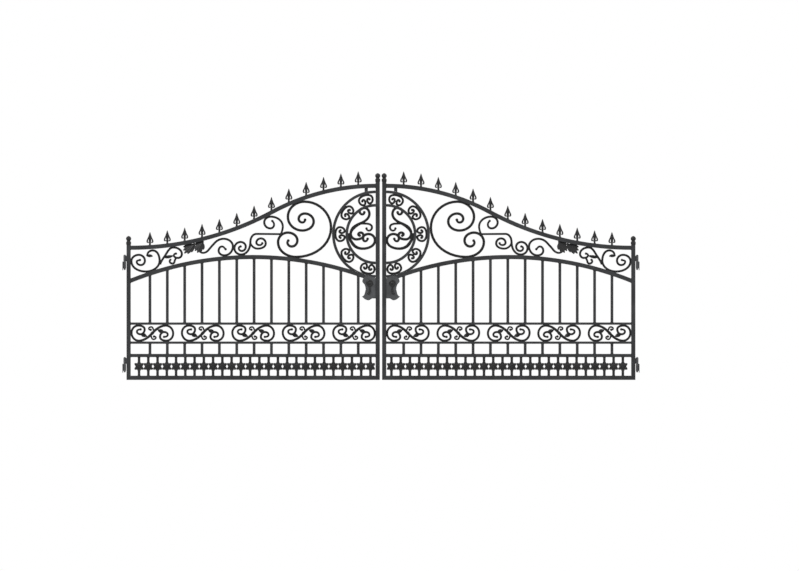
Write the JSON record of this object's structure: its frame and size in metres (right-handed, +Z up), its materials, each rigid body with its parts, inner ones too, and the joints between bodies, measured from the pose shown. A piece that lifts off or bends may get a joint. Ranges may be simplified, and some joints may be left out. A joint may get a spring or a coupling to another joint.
{
  "type": "double-leaf wrought iron driveway gate",
  "caption": "Two arched wrought iron gate leaves with pickets, spearheads, scrollwork, a central ring of scrolls and cast rosettes, hung on weld-on hinges that fix to posts.",
  "frame": {"origin": "on the flat post face of the lower left hinge plate, at its centre, in the leaves' middle plane", "axes": "+X along the gate from the left post to the right one, +Y the way the leaves open, +Z up"},
  "size_m": [5.512, 0.087, 2.2237],
  "materials": {
    "frame_black": "satin black paint over steel section",
    "scroll_black": "satin black paint over hammered wrought bar",
    "cast_black": "satin black paint over sand-cast iron",
    "fitting_black": "satin black paint, rubbed at the edges",
    "handle_black": "semi-gloss black, worn where it is held"
  },
  "bodies": {
    "left_leaf": {"left_hinge_stile": "frame_black", "left_meeting_stile": "frame_black", "left_bottom_rail": "frame_black", "left_top_rail": "frame_black", "left_arch_rail": "frame_black", "left_cross_rails": "frame_black", "left_pickets": "frame_black", "left_spearheads": "cast_black", "left_finials": "cast_black", "left_outer_ring": "scroll_black", "left_inner_ring": "scroll_black", "left_ring_scrolls": "scroll_black", "left_medallion_scroll": "scroll_black", "left_big_scroll": "scroll_black", "left_middle_scrolls": "scroll_black", "left_end_scrolls": "scroll_black", "left_acanthus_leaves": "scroll_black", "left_band_scrolls": "scroll_black", "left_rosettes": "cast_black", "left_hinge_barrels": "fitting_black", "left_lock_case": "fitting_black", "left_lock_plates": "fitting_black"},
    "left_handle": {"left_handle": "handle_black"},
    "right_leaf": {"right_hinge_stile": "frame_black", "right_meeting_stile": "frame_black", "right_bottom_rail": "frame_black", "right_top_rail": "frame_black", "right_arch_rail": "frame_black", "right_cross_rails": "frame_black", "right_pickets": "frame_black", "right_spearheads": "cast_black", "right_finials": "cast_black", "right_outer_ring": "scroll_black", "right_inner_ring": "scroll_black", "right_ring_scrolls": "scroll_black", "right_medallion_scroll": "scroll_black", "right_big_scroll": "scroll_black", "right_middle_scrolls": "scroll_black", "right_end_scrolls": "scroll_black", "right_acanthus_leaves": "scroll_black", "right_band_scrolls": "scroll_black", "right_rosettes": "cast_black", "right_hinge_barrels": "fitting_black", "right_lock_case": "fitting_black", "right_lock_plates": "fitting_black"},
    "right_handle": {"right_handle": "handle_black"},
    "posts": {"left_post_hinges": "fitting_black", "right_post_hinges": "fitting_black"}
  },
  "joints": [
    {"name": "left_leaf_swing", "type": "hinge", "parent": "posts", "child": "left_leaf", "pos_m": [0.025, 0, 0], "axis": [0, 0, 1], "range_deg": [0, 90]},
    {"name": "right_leaf_swing", "type": "hinge", "parent": "posts", "child": "right_leaf", "pos_m": [5.487, 0, 0], "axis": [0, 0, -1], "range_deg": [0, 90]},
    {"name": "left_handle_turn", "type": "hinge", "parent": "left_leaf", "child": "left_handle", "pos_m": [2.635, 0, 0.907], "axis": [0, 1, 0], "range_deg": [0, 60]},
    {"name": "right_handle_turn", "type": "hinge", "parent": "right_leaf", "child": "right_handle", "pos_m": [2.877, 0, 0.907], "axis": [0, -1, 0], "range_deg": [0, 60]}
  ]
}
